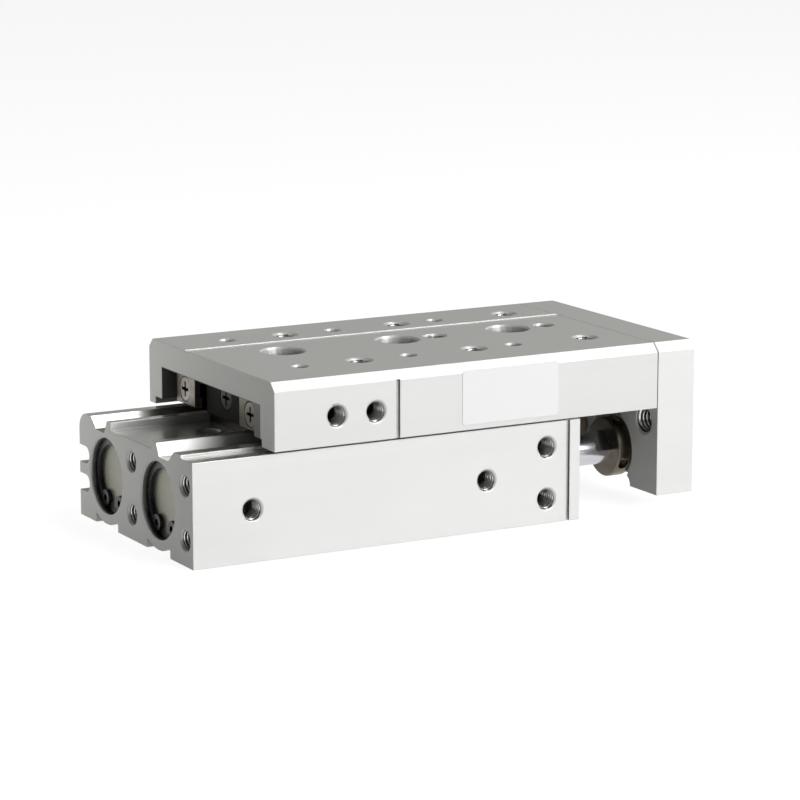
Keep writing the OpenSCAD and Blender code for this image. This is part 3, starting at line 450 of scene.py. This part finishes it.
def pattern_points(mount):
    """The centres of a bolt pattern's holes, for a pattern on a line or a rectangle."""
    axis = Vector(mount["axis"])
    rows = [a for a in (X_AXIS, Y_AXIS, Z_AXIS) if abs(a.dot(axis)) < 0.5]
    dims = mount["dims"]
    points = [Vector(mount["pos_m"])]
    for row, key in zip(rows, ("spacing_x_mm", "spacing_y_mm")):
        if key in dims:
            half = row * dims[key] * MM / 2
            points = [p + s * half for p in points for s in (-1, 1)]
    return points


# Tapped holes: drilled radius, pitch and the depth of the 45 degree countersink at the mouth.
M5_TAP = (2.1 * MM, 0.8 * MM, 0.6 * MM)
M6_TAP = (2.5 * MM, 1.0 * MM, 0.7 * MM)
M6_END_TAP = (2.5 * MM, 1.0 * MM, 1.0 * MM)

# The mount, its node and body, its tap, and in millimetres the thread's start and length.
THREADS = [
    ("rear_port", "body", BASE, M5_TAP, 0.45, 4.5),
    ("front_port", "body", BASE, M5_TAP, 0.45, 4.5),
    ("rear_face_holes", "body", BASE, M5_TAP, 0.4, 8.0),
    ("body_side_holes", "body", BASE, M5_TAP, 0.45, 6.0),
    ("table_side_holes", "table", SLIDE, M5_TAP, 0.45, 5.0),
    ("table_work_holes_corners", "table", SLIDE, M6_TAP, 0.9, 4.0),
    ("table_work_holes_middle", "table", SLIDE, M6_TAP, 0.9, 4.0),
    ("end_plate_work_holes", "end_plate", SLIDE, M6_END_TAP, 0.9, 3.8),
]


def cut_thread(name, body, spot, out, tap, start, length):
    """A thread in one hole, whose mouth's centre is spot; start and length in millimetres."""
    piece = new_object(
        name, lambda bm: helix(bm, spot, out, tap, start * MM, length * MM), THREAD, body)
    for face in piece.data.polygons:
        face.use_smooth = True


def on_face(spot, axis, node):
    """The point of a node's outer face that lies over spot, looking along a main axis."""
    low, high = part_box(node)
    outer = [h if a > 0 else l for a, l, h in zip(axis, low, high)]
    return Vector([o if abs(a) > 0.5 else s for a, o, s in zip(axis, outer, spot)])


for mount_name, node, body, tap, start, length in THREADS:
    axis = mounts[mount_name]["axis"]
    for number, spot in enumerate(pattern_points(mounts[mount_name])):
        cut_thread(f"thread_{mount_name}_{number}", body, on_face(spot, axis, node), axis,
                   tap, start, length)

# The end plate's work holes go right through it, so their threads also start at its back.
BACK_START, BACK_LENGTH = 0.15, 4.4
for number, spot in enumerate(pattern_points(mounts["end_plate_work_holes"])):
    cut_thread(f"thread_end_plate_back_{number}", SLIDE, on_face(spot, -X_AXIS, "end_plate"),
               -X_AXIS, M6_END_TAP, BACK_START, BACK_LENGTH)


CORNER_STEPS = 8  # faces in each of the label's corners


def rounded_slab(bm, x0, x1, z0, z1, y0, y1, radius):
    """A thin plate in X and Z with rounded corners, from y0 to y1."""
    loop = []
    for cx, cz, first in ((x1 - radius, z1 - radius, 0), (x0 + radius, z1 - radius, 90),
                          (x0 + radius, z0 + radius, 180), (x1 - radius, z0 + radius, 270)):
        for i in range(CORNER_STEPS + 1):
            a = math.radians(first + 90 * i / CORNER_STEPS)
            loop.append((cx + radius * math.cos(a), cz + radius * math.sin(a)))
    front = [bm.verts.new((x, y0, z)) for x, z in loop]
    back = [bm.verts.new((x, y1, z)) for x, z in loop]
    bm.faces.new(front)
    bm.faces.new(reversed(back))
    for i in range(len(loop)):
        j = (i + 1) % len(loop)
        bm.faces.new((front[j], front[i], back[i], back[j]))
    bmesh.ops.recalc_face_normals(bm, faces=bm.faces)


# The step along the table's top, at STEP_Y from the guide's centre line: its short face
# catches the light as a bright line, and the land behind it falls back to the top.
STEP_Y, STEP_H, LAND_W = 10.9 * MM, 0.2 * MM, 3.0 * MM


def step_land(bm):
    """The land as a bar along the table, its foot sunk into the top."""
    ends = []
    for x in (table_low.x, table_high.x):
        ends.append([bm.verts.new((x, STEP_Y, table_high.z - STEP_H)),
                     bm.verts.new((x, STEP_Y, table_high.z + STEP_H)),
                     bm.verts.new((x, STEP_Y + LAND_W, table_high.z)),
                     bm.verts.new((x, STEP_Y + LAND_W, table_high.z - STEP_H))])
    for end in ends:
        bm.faces.new(end)
    for i in range(4):
        j = (i + 1) % 4
        bm.faces.new((ends[0][i], ends[0][j], ends[1][j], ends[1][i]))
    bmesh.ops.recalc_face_normals(bm, faces=bm.faces)


land = new_object("table_step", step_land, PLATE, SLIDE)


def label_film():
    """White plastic film, a little wavy from the glue under it."""
    material, t, shader = new_material("label_film")
    t.put(varied(t, t.noise(500), (0.955, 0.95, 0.955), 0.0105), shader.inputs["Base Color"])
    shader.inputs["Roughness"].default_value = 0.35
    t.put(t.bump(t.noise(120, detail=2.0), 0.01 * MM, LABEL_EDGE), shader.inputs["Normal"])
    return material


# The bare label on the table's port side: its distances from the table's rear and lower
# edges, its length and height, how far it reaches in and out of the face, and its corners.
LABEL_X, LABEL_LEN = 47.4 * MM, 25.2 * MM
LABEL_Z, LABEL_H = 1.3 * MM, 12.4 * MM
LABEL_T = 0.1 * MM
LABEL_CORNER = 0.6 * MM
label_x0 = table_low.x + LABEL_X
label_z0 = table_low.z + LABEL_Z
label = new_object(
    "label",
    lambda bm: rounded_slab(bm, label_x0, label_x0 + LABEL_LEN, label_z0, label_z0 + LABEL_H,
                            table_low.y - LABEL_T, table_low.y + LABEL_T, LABEL_CORNER),
    label_film(), SLIDE)


# ---------- Studio ----------


FLOOR_SIZE = 12.0
FLOOR_DROP = 0.2 * MM  # keeps the floor off the base face
SEEN_GREY, SEEN_GLOW = 0.35, 0.86  # the floor as the camera, gloss and glass see it
PLAIN_GREY = 0.28  # the floor as it lights the object


def make_floor():
    """A pale floor that shows white with the object's shadow on it."""
    material, t, _ = new_material("floor")
    t.tree.nodes.clear()
    out = t.add("ShaderNodeOutputMaterial")
    path = t.add("ShaderNodeLightPath")
    seen = t.math("MAXIMUM", path.outputs["Is Camera Ray"], path.outputs["Is Glossy Ray"])
    seen = t.math("MAXIMUM", seen, path.outputs["Is Transmission Ray"])
    pale = t.add("ShaderNodeBsdfDiffuse")
    pale.inputs["Color"].default_value = rgba((SEEN_GREY,) * 3)
    glow = t.add("ShaderNodeEmission")
    glow.inputs["Color"].default_value = (1, 1, 1, 1)
    glow.inputs["Strength"].default_value = SEEN_GLOW
    bright = t.add("ShaderNodeAddShader")
    t.link(pale.outputs[0], bright.inputs[0])
    t.link(glow.outputs[0], bright.inputs[1])
    plain = t.add("ShaderNodeBsdfDiffuse")
    plain.inputs["Color"].default_value = rgba((PLAIN_GREY,) * 3)
    both = t.add("ShaderNodeMixShader")
    t.link(seen, both.inputs[0])
    t.link(plain.outputs[0], both.inputs[1])
    t.link(bright.outputs[0], both.inputs[2])
    t.link(both.outputs[0], out.inputs["Surface"])
    bpy.ops.mesh.primitive_plane_add(size=FLOOR_SIZE, location=(0, 0, cad_low.z - FLOOR_DROP))
    floor = bpy.context.object
    floor.name = "floor"
    floor.data.materials.append(material)


SURROUND = 0.125  # strength of the studio's soft surround
SURROUND_FAR = 0.3  # how much paler it is low down on the sensor side


def make_world():
    """Soft studio surround: dim all over, and paler low down on the sensor side."""
    world = bpy.data.worlds.new("studio")
    bpy.context.scene.world = world
    world.use_nodes = True
    t = Nodes(world.node_tree)
    out = t.add("ShaderNodeOutputWorld")
    back = t.add("ShaderNodeBackground")
    t.link(back.outputs[0], out.inputs["Surface"])
    where = t.add("ShaderNodeTexCoord")
    split = t.add("ShaderNodeSeparateXYZ")
    t.link(where.outputs["Generated"], split.inputs[0])
    low = t.span(split.outputs["Z"], 0.1, 0.5, 1.0, 0.0)
    far_side = t.span(split.outputs["Y"], 0.2, 0.8, 0.0, SURROUND_FAR)
    t.link(t.math("ADD", t.math("MULTIPLY", far_side, low), SURROUND), back.inputs["Strength"])
    back.inputs["Color"].default_value = (1, 1, 1, 1)


# A lamp's name, place, size, power in watts, and whether it shows in reflections.
LAMPS = [
    ("key", (0.50, -1.20, 0.52), (0.9, 0.6), 16.2, True),
    ("rear_left", (-0.135, 0.11, 0.065), (0.05, 0.05), 0.064, False),
    ("overhead", (0.50, -0.25, 1.0), (0.5, 0.5), 2.8, True),
]


def make_lamp(name, at, size, power, mirrored):
    """A soft lamp that looks at the object's middle."""
    data = bpy.data.lights.new(name, "AREA")
    data.shape = "RECTANGLE"
    data.size, data.size_y = size
    data.energy = power
    lamp = bpy.data.objects.new(name, data)
    bpy.context.scene.collection.objects.link(lamp)
    lamp.location = at
    aim = (cad_low + cad_high) / 2 - Vector(at)
    lamp.rotation_euler = aim.to_track_quat("-Z", "Y").to_euler()
    lamp.visible_glossy = mirrored


# The camera's place, its turn and dip in degrees, and its lens in millimetres.
CAMERA_AT = (-0.34195, -0.65140, 0.17560)
CAMERA_TURN = 29.038
CAMERA_DIP = 11.391
CAMERA_LENS = 145.77


def make_camera():
    """A long lens, as in a catalogue shot, that looks down a little at the rear corner."""
    data = bpy.data.cameras.new("camera")
    data.lens = CAMERA_LENS
    data.sensor_width = 36.0
    data.clip_start, data.clip_end = 0.05, 50.0
    camera = bpy.data.objects.new("camera", data)
    bpy.context.scene.collection.objects.link(camera)
    camera.location = CAMERA_AT
    camera.rotation_euler = (math.radians(90 - CAMERA_DIP), 0, math.radians(-CAMERA_TURN))
    bpy.context.scene.camera = camera


make_floor()
make_world()
for lamp_row in LAMPS:
    make_lamp(*lamp_row)
make_camera()
bpy.context.scene.view_settings.view_transform = "Standard"
